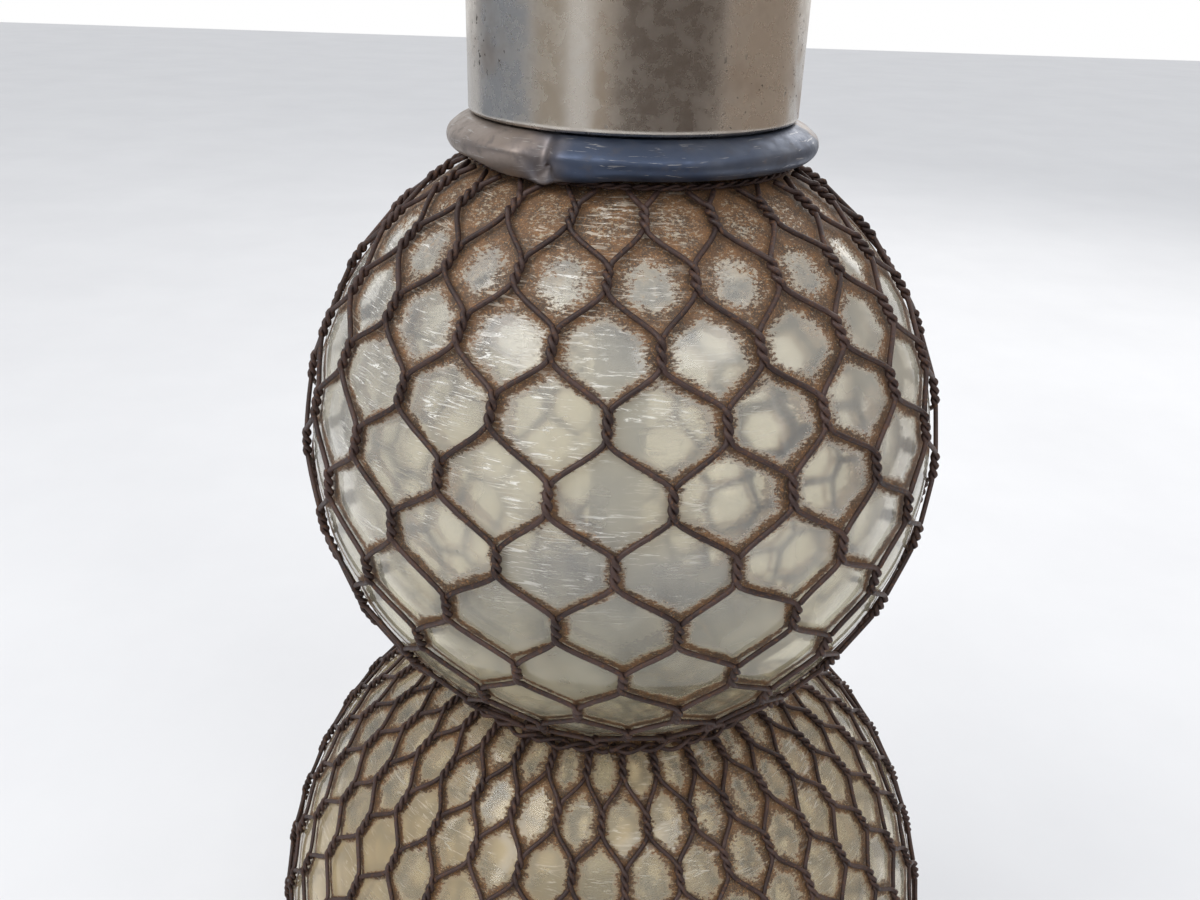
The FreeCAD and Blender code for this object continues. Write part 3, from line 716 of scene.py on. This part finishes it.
def twisted_hoop(hoop, mat):
    """Two wires twisted round each other in a closed hoop."""
    low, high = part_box(hoop["node"])
    r = (high.x - low.x) / 2 - hoop["rim"] - hoop["inset"]
    z = (high.z + low.z) / 2
    lines = []
    count = int(hoop["twists"] * hoop_steps)
    for side in (0.0, math.pi):
        line = []
        for k in range(count):
            a = 2 * math.pi * k / count
            phi = hoop["twists"] * a + side
            sway = hoop["wander"] * (math.sin(3 * a + side) + 0.6 * math.sin(7 * a + 1.3))
            rr = r + hoop["spread"] * math.cos(phi)
            line.append((rr * math.sin(a), -rr * math.cos(a), z + hoop["spread"] * math.sin(phi) + sway))
        lines.append(line)
    piece = add_tubes(hoop["name"], lines, hoop["wire"], hoop_sides, mat, closed=True)
    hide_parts(hoop["node"])


def collar(mat):
    """Pewter collar with a rolled bead that is crushed and split at one place."""
    bead_r = (collar_hi.x - collar_lo.x) / 2
    low = collar_lo.z
    cap_z = cap_lo.z
    bore = neck_r + collar_bore_gap
    sleeve = bore + collar_sleeve_wall
    mid = low + bead_mid_rise
    outline = [(bore, low + 1.8 * MM), (bore + 1.8 * MM, low + 0.5 * MM)]
    outline += [(sleeve - 1.0 * MM, low + 0.3 * MM), (sleeve + 1.2 * MM, low + 0.25 * MM)]
    outline += arc_points(bead_r - bead_edge_r, mid, bead_edge_r, -80, 38, 14)
    outline += [(bead_r - 1.15 * MM, low + 4.75 * MM), (bead_r - 2.1 * MM, low + 5.5 * MM),
                (bead_r - 3.1 * MM, low + 6.0 * MM)]
    outline += [(cap_hi.x - 0.2 * MM, cap_z - 0.35 * MM), (cap_hi.x - 1.4 * MM, cap_z - 0.3 * MM),
                (sleeve, cap_z - 0.3 * MM)]
    outline += [(sleeve, collar_hi.z - 0.6 * MM), (sleeve - 0.6 * MM, collar_hi.z), (bore, collar_hi.z)]
    hole_out = bead_r - hole_inset
    hole_turn = dent_turn + hole_shift
    hole = Vector((hole_out * math.sin(hole_turn), -hole_out * math.cos(hole_turn), low + hole_rise))

    def crush(p):
        """Dents the bead and opens a small hole under the dent; the sleeve stays round."""
        x, y, z = p
        a = math.atan2(x, -y)
        r = math.hypot(x, y)
        if r < sleeve + 0.4 * MM:
            return p
        out = (r - sleeve) / (bead_r - sleeve)
        under = max(0.0, min(1.0, (mid + 0.8 * MM - z) / (2.4 * MM)))
        off = math.degrees(a - dent_turn)
        fold = math.exp(-(off / fold_width) ** 2)
        lobe = math.exp(-((off - lobe_at) / lobe_width) ** 4)
        lip = math.exp(-((off - lip_at) / lip_width) ** 2)
        z2 = z - out * (lobe_drop * lobe * under + lip_drop * lip * under + fold_drop * fold) * MM
        r2 = r - out * (fold_pull * fold * (1.15 - under) + lobe_pull * lobe * under + lip_pull * lip) * MM
        wave = bead_wave * noise.noise(Vector((x, y, z)) * 70.0)
        v = Vector(((r2 + wave) * math.sin(a), -(r2 + wave) * math.cos(a), z2))
        near = (v - hole).length / hole_r
        v.z += hole_lift * math.exp(-near ** 2)
        inward = 1 - hole_pull * math.exp(-near ** 2) / r
        return (v.x * inward, v.y * inward, v.z)

    verts, faces = lathe(outline, collar_sides, crush)
    piece = add_mesh("neck_collar_beaded", verts, faces, mat, "vessel")
    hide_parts("neck_collar")


def screw_cap(mat):
    """The cylinder that screws over the collar, with a softened lower edge and a rounded shoulder."""
    r = (cap_hi.x - cap_lo.x) / 2
    low = cap_lo.z
    top = cap_hi.z
    inner = r - cap_wall
    outline = [(inner, low), (r - 0.7 * MM, low), (r - 0.3 * MM, low + 0.12 * MM), (r, low + cap_rim)]
    outline += [(r, low + cap_rim + (top - low - cap_ends) * t) for t in (0.02, 0.25, 0.5, 0.75, 0.98)]
    outline += arc_points(r - cap_shoulder_r, top - cap_shoulder_r, cap_shoulder_r, 0, 90, 10)
    outline += [(cap_flat_r, top), (cap_hole_r + 0.4 * MM, top), (cap_hole_r, top - 0.2 * MM),
                (cap_hole_r, top - 2.6 * MM)]
    outline += arc_points(inner - 5.4 * MM, top - 7.6 * MM, cap_shoulder_r, 90, 0, 6)
    outline += [(inner - 0.4 * MM, web_z + cap_web), (cap_stem_r, web_z + cap_web),
                (cap_stem_r, web_z), (inner, web_z)]

    def dull(p):
        v = Vector(p)
        out = Vector((v.x, v.y, 0.0)).normalized()
        return tuple(v + out * cap_dullness_mm * MM * noise.noise(v * 45.0))

    verts, faces = lathe(outline, cap_sides, dull)
    piece = add_mesh("head_cap_turned", verts, faces, mat, "head")
    piece.modifiers.new("edges", "EDGE_SPLIT").split_angle = math.radians(50)
    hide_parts("head_cap")


def dress(nodes, mat):
    """A better material for CAD nodes that keep their own shape."""
    for name in nodes:
        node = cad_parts[name]
        node.data.materials.clear()
        node.data.materials.append(mat)


def camera():
    """The camera of the photograph, and colours that render as they are written."""
    data = bpy.data.cameras.new("photo_camera")
    data.sensor_width = sensor_width
    data.lens = camera_focal_px / image_width_px * sensor_width
    data.clip_start = 0.005
    data.clip_end = 20.0
    cam = bpy.data.objects.new("photo_camera", data)
    bpy.context.scene.collection.objects.link(cam)
    ahead = Vector((0, math.cos(camera_pitch), -math.sin(camera_pitch)))
    level_up = Vector((0, math.sin(camera_pitch), math.cos(camera_pitch)))
    right = Vector((1, 0, 0)) * math.cos(camera_roll) + level_up * math.sin(camera_roll)
    up = level_up * math.cos(camera_roll) - Vector((1, 0, 0)) * math.sin(camera_roll)
    turn = Matrix((right, up, -ahead)).transposed().to_4x4()
    cam.matrix_world = Matrix.Translation(camera_place) @ turn
    bpy.context.scene.camera = cam
    bpy.context.scene.view_settings.view_transform = "Standard"


def lamp(name, place_at, size, power, colour):
    data = bpy.data.lights.new(name, "AREA")
    data.shape = "RECTANGLE"
    data.size, data.size_y = size
    data.energy = power
    data.color = colour
    obj = bpy.data.objects.new(name, data)
    bpy.context.scene.collection.objects.link(obj)
    obj.location = place_at
    obj.rotation_mode = "QUATERNION"
    obj.rotation_quaternion = (Vector(lamp_aim) - Vector(place_at)).to_track_quat("-Z", "Y")
    obj.visible_camera = False


def backdrop():
    """Pale floor with a soft grain, and a plain white surround."""
    mesh = bpy.data.meshes.new("floor")
    corners = [(x * floor_half, y * floor_half, 0) for x, y in ((-1, -1), (1, -1), (1, 1), (-1, 1))]
    mesh.from_pydata(corners, [], [(0, 1, 2, 3)])
    floor = bpy.data.objects.new("floor", mesh)
    bpy.context.scene.collection.objects.link(floor)
    floor.location.z = -floor_gap
    mat, tree, shader = material("pale_floor")
    where = place(tree)
    tone = grain(tree, where, 7.0, 5.0, 0.6)
    colour = mix(tree, tone, rgb(0.66, 0.66, 0.67), rgb(0.76, 0.76, 0.765))
    tree.links.new(colour, shader.inputs["Base Color"])
    shader.inputs["Roughness"].default_value = 0.6
    mesh.materials.append(mat)

    world = bpy.data.worlds.new("studio")
    bpy.context.scene.world = world
    world.use_nodes = True
    tree = world.node_tree
    tree.nodes.clear()
    out = tree.nodes.new("ShaderNodeOutputWorld")
    shade = tree.nodes.new("ShaderNodeBackground")
    tree.links.new(shade.outputs[0], out.inputs[0])
    path = tree.nodes.new("ShaderNodeLightPath")
    seen = most(tree, path.outputs["Is Camera Ray"], path.outputs["Is Transmission Ray"])
    seen = most(tree, seen, path.outputs["Is Glossy Ray"])
    tone = mix(tree, seen, rgb(0.90, 0.92, 0.96), rgb(1.0, 1.0, 1.0))
    tree.links.new(tone, shade.inputs["Color"])
    tree.links.new(plus(tree, times(tree, seen, 0.1), 0.9), shade.inputs["Strength"])


def panel(name, turn_from, turn_to, colour):
    """A standing panel that only reflections see, so that bright metal shows bands as in a room."""
    ends = []
    for turn in (turn_from, turn_to):
        a = math.radians(turn)
        ends.append((panel_distance * math.sin(a), -panel_distance * math.cos(a)))
    corners = [(*ends[0], panel_low), (*ends[1], panel_low), (*ends[1], panel_high), (*ends[0], panel_high)]
    mesh = bpy.data.meshes.new(name)
    mesh.from_pydata(corners, [], [(0, 1, 2, 3)])
    obj = bpy.data.objects.new(name, mesh)
    bpy.context.scene.collection.objects.link(obj)
    mat, _, shader = material(name)
    shader.inputs["Base Color"].default_value = rgb(*colour)
    shader.inputs["Roughness"].default_value = 0.9
    mesh.materials.append(mat)
    obj.visible_camera = False
    obj.visible_diffuse = False
    obj.visible_shadow = False
    obj.visible_transmission = False


glass = glass_material()
wire = wire_material()
nickel = nickel_material("worn_nickel", 0.7, 0.95)
pewter = pewter_material()
rubber = plain_material(
    "old_rubber", (0.02, 0.019, 0.018), (0.05, 0.045, 0.042), 0.0, 0.75, 160.0, 0.1 * MM)
plaster = plain_material("plaster", (0.42, 0.37, 0.29), (0.62, 0.58, 0.5), 0.0, 0.9, 90.0, 0.3 * MM)
brass = plain_material(
    "tarnished_brass", (0.30, 0.20, 0.08), (0.52, 0.38, 0.16), 0.95, 0.36, 120.0, 0.05 * MM)
steel = plain_material(
    "turned_steel", (0.30, 0.29, 0.28), (0.46, 0.45, 0.44), 1.0, 0.32, 150.0, 0.05 * MM)
tin = plain_material("dull_tin", (0.33, 0.33, 0.32), (0.5, 0.5, 0.49), 0.9, 0.45, 90.0, 0.08 * MM)
leather = plain_material(
    "greased_leather", (0.07, 0.04, 0.02), (0.14, 0.08, 0.045), 0.0, 0.6, 300.0, 0.1 * MM)
tube_glass = clear_glass_material()

camera()
blown_glass(glass)
netting("upper_netting_wires", UPPER_NET, "upper_netting", wire)
netting("lower_netting_wires", LOWER_NET, "lower_netting", wire)
for hoop in HOOPS:
    twisted_hoop(hoop, wire)
collar(pewter)
screw_cap(nickel)
dress(["head_body", "spout", "top_cap", "lever"], nickel)
dress(["foot", "spout_nozzle"], pewter)
dress(["plaster_bed", "neck_cement"], plaster)
dress(["neck_gasket", "piston_disc", "tube_washer", "waist_plug_ring"], rubber)
dress(["piston", "tube_nut", "valve_spring"], brass)
dress(["lever_pin"], steel)
dress(["gas_tube", "waist_plug"], tin)
dress(["piston_packing"], leather)
dress(["dip_tube"], tube_glass)

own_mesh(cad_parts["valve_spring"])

backdrop()
for row in LAMPS:
    lamp(*row)
for row in PANELS:
    panel(*row)
